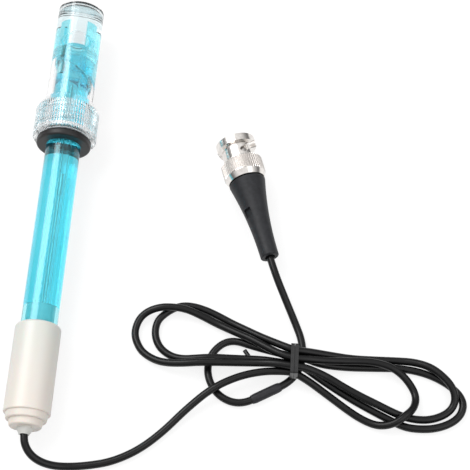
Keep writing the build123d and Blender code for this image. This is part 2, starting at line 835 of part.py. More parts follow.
exit_point = shaft_origin + shaft_direction * cable_end_station
exit_turn = shaft_origin + shaft_direction * (neck_end_station - cable_exit_straight)
lead_points = [
    exit_point,
    exit_turn,
    Vector(1.1, -84.0, 6.7),
    Vector(3.2, -86.4, 5.7),
    Vector(6.1, -87.8, 4.3),
    Vector(9.6, -88.1, 2.7),
    Vector(14.0, -87.7, 1.5),
    Vector(20.0, -86.9, cable_radius),
    Vector(27.5, -85.2, cable_radius),
    Vector(35.6, -80.9, cable_radius),
    Vector(42.8, -74.4, cable_radius),
    Vector(49.4, -67.0, 2.3),
    Vector(57.2, -60.1, 4.4),
    Vector(65.2, -55.6, 4.3),
    Vector(73.0, -53.4, 4.3),
    Vector(81.0, -53.2, 4.9),
]
cable_lead = cable_run("cable_lead", lead_points, corner_radii(lead_points), cable_radius)
cable_lead.part.label = "cable_lead"
export_step(cable_lead.part, "parts/cable_lead.step")

plug_turn = plug_origin + plug_direction * (boot_mouth_depth - plug_straight)
tail_points = [
    Vector(80.0, -47.2, 4.4),
    Vector(73.9, -43.9, 3.0),
    Vector(67.6, -41.9, 1.75),
    Vector(61.2, -41.6, cable_radius),
    Vector(55.8, -45.4, cable_radius),
    Vector(54.4, -52.0, cable_radius),
    Vector(57.2, -58.4, cable_radius),
    Vector(63.6, -63.6, 1.5),
    Vector(72.4, -61.6, 1.75),
    Vector(80.4, -56.8, 1.5),
    Vector(85.6, -49.4, cable_radius),
    Vector(85.6, -41.0, cable_radius),
    Vector(82.9, -34.0, 1.6),
    Vector(79.5, -27.4, 4.3),
    plug_turn,
    plug_origin + plug_direction * boot_mouth_depth,
]
tail_radii = corner_radii(tail_points)


def run_middle(index):
    """The middle of a run of the tail, where two pieces of it meet."""
    return (tail_points[index] + tail_points[index + 1]) / 2


sleeve_corner_index = 8
loop_part = tail_points[:sleeve_corner_index] + [run_middle(sleeve_corner_index - 1)]
loop_radii = tail_radii[: sleeve_corner_index - 1]
cable_loop = cable_run("cable_loop", loop_part, loop_radii, cable_radius)
cable_loop.part.label = "cable_loop"
export_step(cable_loop.part, "parts/cable_loop.step")

sleeve_part = [
    run_middle(sleeve_corner_index - 1),
    tail_points[sleeve_corner_index],
    run_middle(sleeve_corner_index),
]
sleeve_radii = tail_radii[sleeve_corner_index - 1 : sleeve_corner_index]
shrink_sleeve = cable_run("shrink_sleeve", sleeve_part, sleeve_radii, cable_radius + shrink_wall)
shrink_sleeve.part.label = "shrink_sleeve"
export_step(shrink_sleeve.part, "parts/shrink_sleeve.step")

end_part = [run_middle(sleeve_corner_index)] + tail_points[sleeve_corner_index + 1 :]
cable_tail = cable_run("cable_tail", end_part, tail_radii[sleeve_corner_index:], cable_radius)
cable_tail.part.label = "cable_tail"
export_step(cable_tail.part, "parts/cable_tail.step")

# Cable hank: the outer shape of two open lobes of cable and the tied middle
strand = 2 * cable_radius
lobe_height = strand_layers * strand
bundle_floor = strand + tie_thickness + tie_slack + loose_fit
left_outline = [
    (79.0, -44.6), (70.0, -40.2), (58.0, -32.0), (48.0, -28.8), (38.0, -30.4),
    (30.3, -34.6), (29.2, -41.6), (31.6, -48.4), (38.4, -52.8), (48.0, -53.7),
    (64.0, -52.4), (79.0, -52.6),
]
left_opening = [
    (66.5, -44.6), (57.2, -38.4), (50.5, -35.0), (44.4, -33.8), (39.4, -37.0),
    (38.8, -41.0), (40.4, -44.8), (44.6, -47.8), (52.0, -48.9), (64.0, -48.8),
]
right_outline = [
    (90.0, -45.8), (102.0, -45.3), (117.0, -44.5), (124.0, -45.6), (131.0, -48.7),
    (136.8, -54.0), (139.3, -59.6), (137.6, -65.2), (131.0, -69.2), (122.0, -70.0),
    (108.0, -69.8), (99.0, -64.4), (90.0, -58.2),
]
right_opening = [
    (98.0, -50.2), (106.0, -49.4), (112.6, -50.4), (118.0, -53.9), (120.5, -58.4),
    (119.4, -62.2), (115.4, -62.8), (105.0, -57.9),
]
outline_round = 2.5
opening_round = 1.5
stub_height = bundle_floor - tie_slack - tie_stub_radius
stub_start = Vector(tie_start_x + tie_width / 2, bundle_centre_y, stub_height)
stub_points = [
    stub_start,
    Vector(76.2, -49.8, 1.2),
    Vector(69.9, -49.0, tie_stub_radius),
    Vector(67.0, -45.0, tie_stub_radius),
]
with BuildPart() as cable_hank:
    for outline, opening in ((left_outline, left_opening), (right_outline, right_opening)):
        with BuildSketch() as lobe_plan:
            with BuildLine():
                Polyline(*outline, close=True)
            make_face()
            fillet(lobe_plan.vertices(), outline_round)
            with BuildSketch(mode=Mode.SUBTRACT) as opening_plan:
                with BuildLine():
                    Polyline(*opening, close=True)
                make_face()
                fillet(opening_plan.vertices(), opening_round)
        extrude(amount=lobe_height)
    with BuildSketch(Plane.XY.offset(bundle_floor)):
        with Locations(((bundle_start_x + bundle_end_x) / 2, bundle_centre_y)):
            Rectangle(bundle_end_x - bundle_start_x, bundle_width)
    extrude(amount=lobe_height)
    for channel_points, channel_radii, channel_radius in (
        (lead_points, corner_radii(lead_points), cable_radius + seat_fit),
        (loop_part, loop_radii, cable_radius + seat_fit),
        (stub_points, corner_radii(stub_points), tie_stub_radius + seat_fit),
    ):
        with BuildLine():
            FilletPolyline(*channel_points, radius=channel_radii)
        with BuildSketch(Plane(origin=channel_points[0], z_dir=channel_points[1] - channel_points[0])):
            Circle(channel_radius)
        sweep(mode=Mode.SUBTRACT)
cable_hank.part.label = "cable_hank"
export_step(cable_hank.part, "parts/cable_hank.step")

# Twist tie: two turns round the tied middle and one stub left along the bench
tie_inner_width = bundle_width + 2 * tie_slack
tie_inner_height = lobe_height + 2 * tie_slack
tie_middle_height = bundle_floor + lobe_height / 2
with BuildPart() as twist_tie:
    for turn in range(tie_turn_count):
        turn_x = tie_start_x + turn * (tie_width + tie_turn_gap)
        turn_origin = (turn_x, bundle_centre_y, tie_middle_height)
        with BuildSketch(Plane(origin=turn_origin, x_dir=(0, 1, 0), z_dir=(1, 0, 0))):
            RectangleRounded(
                tie_inner_width + 2 * tie_thickness,
                tie_inner_height + 2 * tie_thickness,
                tie_corner_round,
            )
            Rectangle(tie_inner_width, tie_inner_height, mode=Mode.SUBTRACT)
        extrude(amount=tie_width)
    with BuildLine():
        FilletPolyline(*stub_points, radius=corner_radii(stub_points))
    with BuildSketch(Plane(origin=stub_start, z_dir=stub_points[1] - stub_start)):
        Circle(tie_stub_radius)
    sweep()
    bar_height = bundle_floor - tie_slack - tie_thickness
    bar_width = tie_turn_count * tie_width + (tie_turn_count - 1) * tie_turn_gap
    with BuildSketch(Plane.XY.offset(bar_height)):
        with Locations((tie_start_x + bar_width / 2, bundle_centre_y)):
            Rectangle(bar_width, 2 * tie_stub_radius)
    extrude(amount=tie_thickness)
twist_tie.part.label = "twist_tie"
export_step(twist_tie.part, "parts/twist_tie.step")
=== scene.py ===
import bpy, bmesh
from math import atan2, cos, pi, radians, sin
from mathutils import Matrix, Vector


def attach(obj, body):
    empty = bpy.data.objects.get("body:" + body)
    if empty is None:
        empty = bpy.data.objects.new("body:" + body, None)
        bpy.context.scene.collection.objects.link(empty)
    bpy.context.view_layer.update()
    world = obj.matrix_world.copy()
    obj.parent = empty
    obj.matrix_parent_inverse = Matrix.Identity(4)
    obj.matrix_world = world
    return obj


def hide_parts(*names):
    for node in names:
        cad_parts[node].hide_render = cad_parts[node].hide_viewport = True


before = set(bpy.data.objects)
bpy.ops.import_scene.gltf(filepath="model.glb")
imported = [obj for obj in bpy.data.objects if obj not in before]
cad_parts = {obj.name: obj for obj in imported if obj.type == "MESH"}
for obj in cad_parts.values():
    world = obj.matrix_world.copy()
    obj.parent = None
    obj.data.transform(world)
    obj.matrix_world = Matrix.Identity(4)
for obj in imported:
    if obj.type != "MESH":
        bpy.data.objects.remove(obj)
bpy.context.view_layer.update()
print("frame loaded:", len(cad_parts), "nodes")

mm = 0.001

# The two axes that everything is built on, in millimetres as in the part's source
shaft = {"tilt": atan2(3.5, 99.4), "origin": (0, -73.354, 7.4954)}
plug = {"heading": radians(108.1), "origin": (73.7, -13.7, 7.25)}


def onShaft(station, right=0.0, up=0.0):
    # a point of the electrode, in metres, from its station and the way across it
    c, s = cos(shaft["tilt"]), sin(shaft["tilt"])
    x, y, z = shaft["origin"]
    return Vector((x + right, y + station * c - up * s, z + station * s + up * c)) * mm


# The camera stands where the photo's camera stood, in millimetres
view = {
    "place": (73.04, -198.21, 378.19), "target": (61.27, -2.25, 0.0),
    "lens": 94.75, "sensor": 36, "nearest": 10,
}


def makeCamera():
    camera = bpy.data.objects.new("camera", bpy.data.cameras.new("camera"))
    bpy.context.collection.objects.link(camera)
    camera.data.lens = view["lens"]
    camera.data.sensor_width = view["sensor"]
    camera.data.clip_start = view["nearest"] * mm
    place = Vector(view["place"]) * mm
    camera.location = place
    camera.rotation_euler = (Vector(view["target"]) * mm - place).to_track_quat("-Z", "Y").to_euler()
    bpy.context.scene.camera = camera


makeCamera()

# One spline from the electrode to the plug: out over the small loop, through the tie, three times
# round the right lobe and twice round the left one, and once round the small loop. Its points are
# in millimetres. Order and steps set how smooth its line is, and bevel how round the cable is
cable = {
    "diameter": 2.5, "order": 3, "steps": 8, "bevel": 5,
    "lead": [
        (0.0, -77.75, 7.34), (0.0, -80.95, 7.22), (1.1, -84.0, 6.7), (3.2, -86.3, 5.7),
        (6.1, -87.6, 4.3), (9.6, -88.0, 2.7), (14.0, -87.7, 1.5), (20.0, -86.9, 1.25),
        (27.5, -85.2, 1.25), (35.6, -80.9, 1.25), (42.8, -74.4, 1.25), (49.4, -67.0, 2.3),
        (57.2, -60.1, 4.3), (65.2, -55.6, 4.3), (73.0, -53.4, 4.4), (79.5, -53.0, 4.6),
    ],
    "right1": [
        (83.2, -53.2, 4.65), (86.0, -54.6, 4.3), (89.0, -56.0, 3.2), (92.5, -58.0, 2.0),
        (97.1, -61.0, 1.25), (101.3, -64.0, 1.25), (105.1, -66.4, 1.3), (109.3, -68.3, 1.6),
        (112.7, -68.8, 2.6), (116.2, -68.0, 4.0), (119.3, -65.5, 4.5), (121.5, -63.2, 3.4),
        (122.7, -60.2, 2.0), (122.7, -57.4, 1.6), (121.2, -54.4, 1.9), (118.6, -51.6, 2.9),
        (115.1, -49.4, 3.8), (110.5, -48.1, 4.0), (106.3, -47.8, 4.0), (99.3, -48.3, 4.3),
        (92.3, -48.9, 5.4), (87.5, -49.2, 6.7),
    ],
    "left1": [
        (83.2, -49.3, 7.05), (78.0, -47.7, 6.5), (71.9, -44.2, 5.3), (68.4, -42.2, 4.6),
        (63.8, -39.7, 2.8), (57.8, -36.8, 1.7), (51.7, -34.1, 2.5), (47.1, -32.7, 3.7),
        (42.6, -32.2, 3.8), (38.2, -32.5, 3.8), (33.9, -33.9, 2.6), (31.2, -36.7, 1.5),
        (30.3, -41.7, 1.25), (32.5, -46.6, 1.25), (35.3, -49.1, 1.5), (39.0, -51.1, 2.4),
        (42.8, -52.0, 3.6), (47.2, -52.2, 4.7), (51.5, -51.9, 5.3), (55.9, -51.6, 5.4),
        (64.5, -51.0, 4.7), (72.7, -50.8, 5.2), (77.1, -51.1, 6.4),
    ],
    "right2": [
        (83.2, -52.0, 7.05), (86.5, -52.2, 6.8), (89.5, -52.8, 6.0), (94.2, -54.3, 4.8),
        (99.5, -57.1, 4.0), (104.7, -59.7, 3.8), (109.9, -61.9, 3.4), (115.1, -64.0, 2.5),
        (118.9, -65.1, 1.6), (123.0, -65.7, 1.25), (127.2, -65.5, 1.25), (131.3, -64.0, 1.25),
        (134.2, -61.7, 1.4), (135.4, -58.8, 2.4), (134.5, -55.2, 3.8), (131.6, -51.6, 3.9),
        (127.4, -48.2, 3.4), (122.1, -46.4, 2.2), (116.9, -46.0, 1.3), (109.8, -46.1, 1.25),
        (102.1, -46.4, 1.9), (95.0, -46.3, 3.6), (88.5, -46.4, 5.9),
    ],
    "left2": [
        (83.2, -46.5, 7.05), (78.5, -44.6, 6.3), (71.8, -41.2, 4.0), (66.7, -38.2, 2.2),
        (62.2, -35.9, 1.3), (57.6, -33.5, 1.25), (53.0, -31.5, 1.25), (48.4, -30.4, 1.25),
        (44.9, -30.6, 1.25), (42.0, -32.0, 1.25), (39.6, -34.0, 1.25), (37.8, -36.2, 1.25),
        (37.1, -39.3, 1.25), (37.5, -42.6, 1.25), (39.0, -45.6, 1.25), (41.2, -47.6, 1.25),
        (44.0, -49.1, 1.5), (47.5, -49.9, 2.5), (51.4, -49.8, 3.5), (55.8, -49.4, 3.9),
        (60.2, -49.1, 3.3), (66.0, -48.9, 2.9), (73.0, -49.0, 3.5), (79.0, -50.0, 4.5),
    ],
    "right3": [
        (83.2, -50.5, 4.65), (86.5, -51.2, 4.4), (90.0, -53.2, 3.2), (94.2, -55.5, 2.0),
        (102.0, -60.0, 1.25), (110.1, -64.2, 1.25), (116.3, -67.2, 1.25), (119.8, -68.5, 1.25),
        (124.2, -68.8, 1.25), (129.0, -68.3, 1.25), (133.8, -66.4, 1.25), (137.0, -63.6, 1.25),
        (138.2, -59.9, 1.25), (137.0, -56.6, 1.25), (134.2, -53.9, 1.25), (131.0, -51.9, 1.25),
        (127.6, -50.4, 1.25), (124.1, -49.4, 1.25), (120.4, -48.8, 1.25), (116.2, -48.6, 1.25),
        (108.0, -49.0, 1.25), (100.0, -49.4, 1.6), (92.0, -49.4, 2.9), (87.0, -48.2, 4.4),
    ],
    "small": [
        (83.2, -47.8, 4.65), (79.0, -46.9, 4.2), (70.9, -44.4, 2.3), (61.8, -41.4, 1.25),
        (55.9, -46.8, 1.25), (55.1, -54.6, 1.25), (59.3, -61.7, 1.25), (66.8, -64.2, 1.35),
        (75.0, -59.6, 1.65), (82.6, -55.2, 1.25), (86.2, -48.6, 1.25), (85.8, -41.0, 1.25),
        (82.9, -34.0, 1.6), (79.5, -27.4, 4.3), (75.56, -19.4, 7.25), (73.23, -12.27, 7.25),
    ],
}


def makeCable():
    parts = ("lead", "right1", "left1", "right2", "left2", "right3", "small")
    points = [point for part in parts for point in cable[part]]
    curve = bpy.data.curves.new("cable", "CURVE")
    curve.dimensions = "3D"
    spline = curve.splines.new("NURBS")
    spline.points.add(len(points) - 1)
    for knot, point in zip(spline.points, points):
        knot.co = (*(v * mm for v in point), 1)
    spline.order_u = cable["order"]
    spline.use_endpoint_u = True
    spline.resolution_u = cable["steps"]
    thing = bpy.data.objects.new("cable", curve)
    bpy.context.collection.objects.link(thing)
    # the line itself, read before the curve gets its thickness
    graph = bpy.context.evaluated_depsgraph_get()
    flat = bpy.data.meshes.new_from_object(thing.evaluated_get(graph))
    line = [v.co.copy() for v in flat.vertices]
    bpy.data.meshes.remove(flat)
    curve.bevel_depth = cable["diameter"] / 2 * mm
    curve.bevel_resolution = cable["bevel"]
    curve.use_fill_caps = True
    length = sum((b - a).length for a, b in zip(line, line[1:]))
    return thing, line, length


cableThing, cableLine, cableLength = makeCable()
print("cable laid, length", round(cableLength, 4))


# Shader maths: a Wire is a value in a material's tree, and arithmetic on it adds Math nodes
class Wire:
    def __init__(self, tree, socket):
        self.tree = tree
        self.socket = socket

    def math(self, operation, *others):
        node = self.tree.nodes.new("ShaderNodeMath")
        node.operation = operation
        for slot, value in zip(node.inputs, (self, *others)):
            if isinstance(value, Wire):
                self.tree.links.new(value.socket, slot)
            else:
                slot.default_value = value
        return Wire(self.tree, node.outputs[0])

    def __add__(self, other):
        return self.math("ADD", other)

    __radd__ = __add__

    def __sub__(self, other):
        return self.math("SUBTRACT", other)

    def __rsub__(self, other):
        return self.math("MULTIPLY", -1.0).math("ADD", other)

    def __mul__(self, other):
        return self.math("MULTIPLY", other)

    __rmul__ = __mul__

    def clamp(self):
        return self.math("MAXIMUM", 0.0).math("MINIMUM", 1.0)

    def step(self, low, high):
        # 0 below low, 1 above high, straight between
        return ((self - low) * (1 / (high - low))).clamp()


class Finish:
    # a new material's tree, or the tree that is given, such as the world's
    def __init__(self, name, tree=None):
        if tree is None:
            self.material = bpy.data.materials.new(name)
            self.material.use_nodes = True
            tree = self.material.node_tree
        self.tree = tree
        self.tree.nodes.clear()

    def node(self, kind, settings=None, inputs=None, output=0):
        made = self.tree.nodes.new(kind)
        for key, value in (settings or {}).items():
            setattr(made, key, value)
        for key, value in (inputs or {}).items():
            if isinstance(value, Wire):
                self.tree.links.new(value.socket, made.inputs[key])
            else:
                made.inputs[key].default_value = value
        return Wire(self.tree, made.outputs[output]) if len(made.outputs) else made

    def place(self, origin=(0, 0, 0), turn=(0, 0, 0)):
        # the surface point in millimetres, in a frame set on an axis of the part
        point = self.node("ShaderNodeTexCoord", output=3)
        return self.node("ShaderNodeMapping", {"vector_type": "TEXTURE"}, {
            "Vector": point, "Location": [v * mm for v in origin],
            "Rotation": turn, "Scale": (mm, mm, mm),
        })

    def onShaft(self):
        return self.place(shaft["origin"], (shaft["tilt"], 0, 0))

    def onPlug(self):
        return self.place(plug["origin"], (0, 0, plug["heading"]))

    def stretch(self, place, scale):
        return self.node("ShaderNodeMapping", None, {"Vector": place, "Scale": scale})

    def axis(self, place, which):
        return self.node("ShaderNodeSeparateXYZ", None, {0: place}, output=which)

    def noise(self, place, scale, detail=3.0, rough=0.55):
        inputs = {"Vector": place, "Scale": scale, "Detail": detail, "Roughness": rough}
        return self.node("ShaderNodeTexNoise", None, inputs)

    def mix(self, factor, a, b):
        # sockets 6 and 7 are the two colours, and output 2 is the mixed one
        return self.node("ShaderNodeMix", {"data_type": "RGBA"}, {0: factor, 6: a, 7: b}, output=2)

    def bump(self, height, distance, strength):
        # the distance is in millimetres
        inputs = {"Strength": strength, "Distance": distance * mm, "Height": height}
        return self.node("ShaderNodeBump", None, inputs)

    def surface(self, inputs):
        shader = self.node("ShaderNodeBsdfPrincipled", None, inputs)
        self.node("ShaderNodeOutputMaterial", None, {"Surface": shader})
        return self.material


def tone(r, g, b):
    # a colour given from 0 to 255, turned into linear light
    def linear(v):
        share = v / 255
        return share / 12.92 if v < 11 else ((share + 0.055) / 1.055) ** 2.4
    return (linear(r), linear(g), linear(b), 1.0)


# In the finishes, a scale says how fine a noise is and a span where one tone gives way to the
# next. Waves are the bump's height in millimetres and its strength, and bend is the index of
# refraction, which is lower where a piece lies in the liquid
blue = {
    "inAir": {"deep": tone(146, 236, 246), "pale": tone(176, 244, 250), "bend": 1.49},
    # the copy for a piece in the liquid is also painted a shade paler than the same plastic in air:
    # painted light
    "inLiquid": {"deep": tone(152, 238, 249), "pale": tone(178, 246, 252), "bend": 1.14},
    "rough": 0.04, "streak": (0.5, 0.03, 0.5), "span": (0.35, 0.7),
    "waveScale": 0.35, "waves": (0.02, 0.35),
}


def bluePlastic(name, kind):
    facts = blue[kind]
    f = Finish(name)
    place = f.onShaft()
    # the moulding is a little uneven in tint, in long streaks along the tube
    streak = f.noise(f.stretch(place, blue["streak"]), 1.0)
    colour = f.mix(streak.step(*blue["span"]), facts["deep"], facts["pale"])
    return f.surface({
        "Base Color": colour, "Roughness": blue["rough"], "IOR": facts["bend"],
        "Transmission Weight": 1.0,
        "Normal": f.bump(f.noise(place, blue["waveScale"], 2.0), *blue["waves"]),
    })


clear = {
    "bottle": {"tint": (0.985, 0.98, 0.98, 1.0), "rough": 0.02, "bend": 1.45},
    "cap": {"tint": (0.95, 0.965, 0.97, 1.0), "rough": 0.09, "bend": 1.38},
    "seal": {"tint": (0.97, 0.98, 0.98, 1.0), "rough": 0.05, "bend": 1.1},
    "scuffScale": 1.3, "span": (0.45, 0.9), "scuffRough": 0.08,
    "waveScale": 0.5, "waves": (0.03, 0.4),
}


def clearPlastic(name, kind):
    facts = clear[kind]
    f = Finish(name)
    place = f.onShaft()
    scuff = f.noise(place, clear["scuffScale"], 4.0)
    return f.surface({
        "Base Color": facts["tint"], "IOR": facts["bend"], "Transmission Weight": 1.0,
        "Roughness": scuff.step(*clear["span"]) * clear["scuffRough"] + facts["rough"],
        "Normal": f.bump(f.noise(place, clear["waveScale"], 2.0), *clear["waves"]),
    })


bulb = {
    "tint": (0.98, 0.96, 0.96, 1.0), "rough": 0.02, "bend": 1.12,
    "waveScale": 0.8, "waves": (0.02, 0.3),
}


def bulbGlass():
    f = Finish("bulb glass")
    return f.surface({
        "Base Color": bulb["tint"], "Roughness": bulb["rough"], "IOR": bulb["bend"],
        "Transmission Weight": 1.0,
        "Normal": f.bump(f.noise(f.onShaft(), bulb["waveScale"], 2.0), *bulb["waves"]),
    })


fluids = {
    "soaking": {"low": tone(226, 246, 250), "high": tone(240, 250, 252), "bend": 1.33},
    "filling": {"low": tone(214, 244, 250), "high": tone(226, 248, 252), "bend": 1.34},
    "scale": 0.25,
}


def fluidFinish(name, kind):
    facts = fluids[kind]
    f = Finish(name)
    swirl = f.noise(f.onShaft(), fluids["scale"], 2.0)
    return f.surface({
        "Base Color": f.mix(swirl, facts["low"], facts["high"]), "Roughness": 0.0,
        "IOR": facts["bend"], "Transmission Weight": 1.0,
    })


# The handle turns greyer towards its top and warmer on its tail. Those two spans are stations
# along it in millimetres, and the cloud moves them to and fro
cream = {
    "body": tone(238, 232, 224), "top": tone(226, 229, 222), "tail": tone(248, 236, 225),
    "topSpan": (14, 34), "tailSpan": (-6, 10), "cloudScale": 0.12, "cloud": 6,
    "speck": tone(214, 206, 196), "speckScale": 6.0, "span": (0.62, 0.8), "speckMix": 0.25,
    "grainScale": 9.0, "waveScale": 0.6, "waveShare": 0.6, "waves": (0.02, 0.5),
    "rough": 0.3, "speckRough": 0.12, "coat": 0.15, "coatRough": 0.25,
    "subsurface": 0.15, "depth": 2,
}


def creamPlastic():
    f = Finish("cream plastic")
    place = f.onShaft()
    cloud = f.noise(place, cream["cloudScale"], 3.0) * cream["cloud"]
    station = f.axis(place, 1) + cloud
    colour = f.mix(station.step(*cream["topSpan"]), cream["body"], cream["top"])
    colour = f.mix(1 - station.step(*cream["tailSpan"]), colour, cream["tail"])
    speck = f.noise(place, cream["speckScale"], 4.0)
    colour = f.mix(speck.step(*cream["span"]) * cream["speckMix"], colour, cream["speck"])
    wave = f.noise(place, cream["waveScale"], 2.0) * cream["waveShare"]
    grain = f.noise(place, cream["grainScale"], 3.0) + wave
    return f.surface({
        "Base Color": colour, "Roughness": speck * cream["speckRough"] + cream["rough"],
        "Normal": f.bump(grain, *cream["waves"]),
        "Subsurface Weight": cream["subsurface"], "Subsurface Scale": cream["depth"] * mm,
        "Coat Weight": cream["coat"], "Coat Roughness": cream["coatRough"],
    })


# Finishes of two close tones, with uneven gloss and a fine grain of some height in millimetres
plain = {
    "jacket": {
        "name": "cable jacket", "low": tone(9, 9, 10), "high": tone(17, 17, 18),
        "rough": 0.3, "scale": 2.5, "height": 0.02, "shine": 0.28,
    },
    "sleeve": {
        "name": "shrink sleeve", "low": tone(30, 30, 34), "high": tone(40, 40, 45),
        "rough": 0.5, "scale": 3.0, "height": 0.03, "shine": 0.35,
    },
    "boot": {
        "name": "boot rubber", "low": tone(30, 31, 34), "high": tone(42, 43, 47),
        "rough": 0.52, "scale": 3.5, "height": 0.05, "shine": 0.35,
    },
    "washer": {
        "name": "washer rubber", "low": tone(27, 26, 27), "high": tone(40, 38, 38),
        "rough": 0.4, "scale": 2.0, "height": 0.03, "shine": 0.4,
    },
    "black": {
        "name": "black rubber", "low": tone(26, 26, 27), "high": tone(40, 40, 42),
        "rough": 0.5, "scale": 2.5, "height": 0.03,
    },
    "silicone": {
        "name": "pale silicone", "low": tone(232, 238, 239), "high": tone(243, 246, 246),
        "rough": 0.42, "scale": 2.5, "height": 0.03,
    },
    "grey": {
        "name": "grey rubber", "low": tone(120, 124, 128), "high": tone(146, 150, 154),
        "rough": 0.5, "scale": 2.5, "height": 0.03,
    },
    "neck": {
        "name": "pale neck plastic", "low": tone(222, 222, 216), "high": tone(232, 232, 228),
        "rough": 0.36, "scale": 3.0, "height": 0.02,
    },
    "white": {
        "name": "white plastic", "low": tone(236, 236, 232), "high": tone(244, 244, 242),
        "rough": 0.4, "scale": 3.0, "height": 0.02,
    },
    "ceramic": {
        "name": "porous ceramic", "low": tone(226, 222, 212), "high": tone(240, 238, 232),
        "rough": 0.8, "scale": 6.0, "height": 0.05,
    },
    "core": {
        "name": "cable core", "low": tone(222, 218, 208), "high": tone(232, 230, 222),
        "rough": 0.45, "scale": 3.0, "height": 0.02,
    },
    "wire": {
        "name": "silver wire", "low": (0.6, 0.6, 0.58, 1), "high": (0.75, 0.75, 0.73, 1),
        "rough": 0.3, "scale": 3.0, "height": 0.01, "metal": 1.0,
    },
    "gold": {
        "name": "gold plate", "low": (0.8, 0.58, 0.22, 1), "high": (0.9, 0.68, 0.3, 1),
        "rough": 0.22, "scale": 3.0, "height": 0.01, "metal": 1.0,
    },
}
# what a finish above doesn't say for itself
shared = {
    "blotch": 0.2, "span": (0.3, 0.7), "grainRough": 0.14, "strength": 0.5, "shine": 0.5, "metal": 0.0,
}


def plainFinish(kind):
    facts = {**shared, **plain[kind]}
    f = Finish(facts["name"])
    place = f.place()
    blotch = f.noise(place, facts["scale"] * facts["blotch"], 3.0)
    grain = f.noise(place, facts["scale"], 4.0)
    return f.surface({
        "Base Color": f.mix(blotch.step(*facts["span"]), facts["low"], facts["high"]),
        "Roughness": grain * facts["grainRough"] + (facts["rough"] - facts["grainRough"] / 2),
        "Metallic": facts["metal"],
        "Specular IOR Level": facts["shine"],
        "Normal": f.bump(grain, facts["height"], facts["strength"]),
    })


nickel = {
    "bright": (0.80, 0.77, 0.74, 1.0), "dull": (0.68, 0.64, 0.61, 1.0),
    "scale": 0.8, "span": (0.35, 0.75), "rough": 0.1, "wearRough": 0.16,
    "turning": (9.0, 0.3, 0.3), "turned": 0.1, "waves": (0.06, 0.8),
}
# The knurl's band comes in and goes out over two spans of stations along the plug. Its ridges
# are counted round the axis, and its slope is in ridges for each millimetre along it
# Its tint is painted shade: mixed over the whole band, it darkens it as the shade in its grooves would
knurl = {
    "ridges": 56, "slope": 1.25, "from": (32.3, 32.5), "to": (37.2, 37.4), "height": 1.2,
    "tint": (0.62, 0.58, 0.55, 1.0), "mix": 0.8, "rough": 0.25,
}


def nickelFinish(name, knurled):
    f = Finish(name)
    place = f.onPlug()
    station, left, up = (f.axis(place, which) for which in range(3))
    wear = f.noise(place, nickel["scale"], 4.0)
    colour = f.mix(wear.step(*nickel["span"]), nickel["bright"], nickel["dull"])
    # turning marks run round the axis
    height = f.noise(f.stretch(place, nickel["turning"]), 1.0, 2.0) * nickel["turned"]
    rough = wear * nickel["wearRough"] + nickel["rough"]
    if knurled:
        angle = up.math("ARCTAN2", left) * (knurl["ridges"] / (2 * pi))
        slope = station * knurl["slope"]
        first = (angle + slope).math("PINGPONG", 0.5) * 2
        second = (angle - slope).math("PINGPONG", 0.5) * 2
        band = station.step(*knurl["from"]) * (1 - station.step(*knurl["to"]))
        height = height + first.math("MINIMUM", second) * band * knurl["height"]
        # the knurled band is rougher than the turned faces beside it, and painted darker as painted shade
        # of its grooves
        colour = f.mix(band * knurl["mix"], colour, knurl["tint"])
        rough += band * knurl["rough"]
    return f.surface({
        "Base Color": colour, "Metallic": 1.0, "Roughness": rough,
        "Normal": f.bump(height, *nickel["waves"]),
    })


tie = {
    "low": tone(10, 10, 11), "high": tone(26, 26, 28), "ribs": (3.0, 0.4, 0.4), "span": (0.3, 0.7),
    "rough": 0.22, "ribRough": 0.15, "waves": (0.05, 0.6), "coat": 0.12, "coatRough": 0.15,
}


def tieFinish():
    f = Finish("tie plastic")
    # the ribs' mask also moves the colour from the tie's black (low) to its high tone, a painted sheen on
    # the crests of the ribs
    ribAndSheen = f.noise(f.stretch(f.place(), tie["ribs"]), 1.0, 2.0)
    return f.surface({
        "Base Color": f.mix(ribAndSheen.step(*tie["span"]), tie["low"], tie["high"]),
        "Roughness": ribAndSheen * tie["ribRough"] + tie["rough"],
        "Normal": f.bump(ribAndSheen, *tie["waves"]),
        "Coat Weight": tie["coat"], "Coat Roughness": tie["coatRough"],
    })


def makeFinishes():
    made = {
        "blue": bluePlastic("blue clear plastic", "inAir"),
        "wetBlue": bluePlastic("blue plastic in liquid", "inLiquid"),
        "clear": clearPlastic("clear bottle plastic", "bottle"),
        "clearCap": clearPlastic("clear cap plastic", "cap"),
        "clearSeal": clearPlastic("clear silicone", "seal"),
        "bulb": bulbGlass(),
        "liquid": fluidFinish("soaking liquid", "soaking"),
        "gel": fluidFinish("filling gel", "filling"),
        "cream": creamPlastic(),
        "nickel": nickelFinish("nickel plate", False),
        "knurl": nickelFinish("knurled nickel plate", True),
        "tie": tieFinish(),
    }
    made.update((kind, plainFinish(kind)) for kind in plain)
    return made


finishes = makeFinishes()
print("finishes made:", len(finishes))

# Which finish each node of the model wears
wears = {
    "blue": ("body_tube",),
    "wetBlue": ("bulb_guard",),
    "clear": ("storage_bottle",),
    "clearCap": ("bottle_cap",),
    "bulb": ("glass_bulb",),
    "cream": ("handle_cap",),
    "neck": ("strain_relief",),
    "nickel": ("plug_body", "crimp_ferrule", "spring_washer", "retaining_ring"),
    "knurl": ("coupling_sleeve",),
    "tie": ("twist_tie",),
    "jacket": ("lead_core",),
    "boot": ("plug_boot",),
    "washer": ("seal_washer",),
    "black": ("stem_plug",),
    "silicone": ("gland_ring", "rear_bung"),
    "clearSeal": ("bulb_seal",),
    "grey": ("face_gasket",),
    "white": ("plug_insulator",),
    "ceramic": ("reference_junction",),
    "core": ("cable_core",),
    "wire": ("inner_wire", "reference_wire"),
    "gold": ("centre_pin",),
}


def dress(thing, finish):
    thing.data.materials.clear()
    thing.data.materials.append(finishes[finish])


for finish, names in wears.items():
    for name in names:
        dress(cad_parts[name], finish)
dress(cableThing, "jacket")
print("nodes dressed")


meshing = {"weld": 1e-7, "rim": radians(35)}


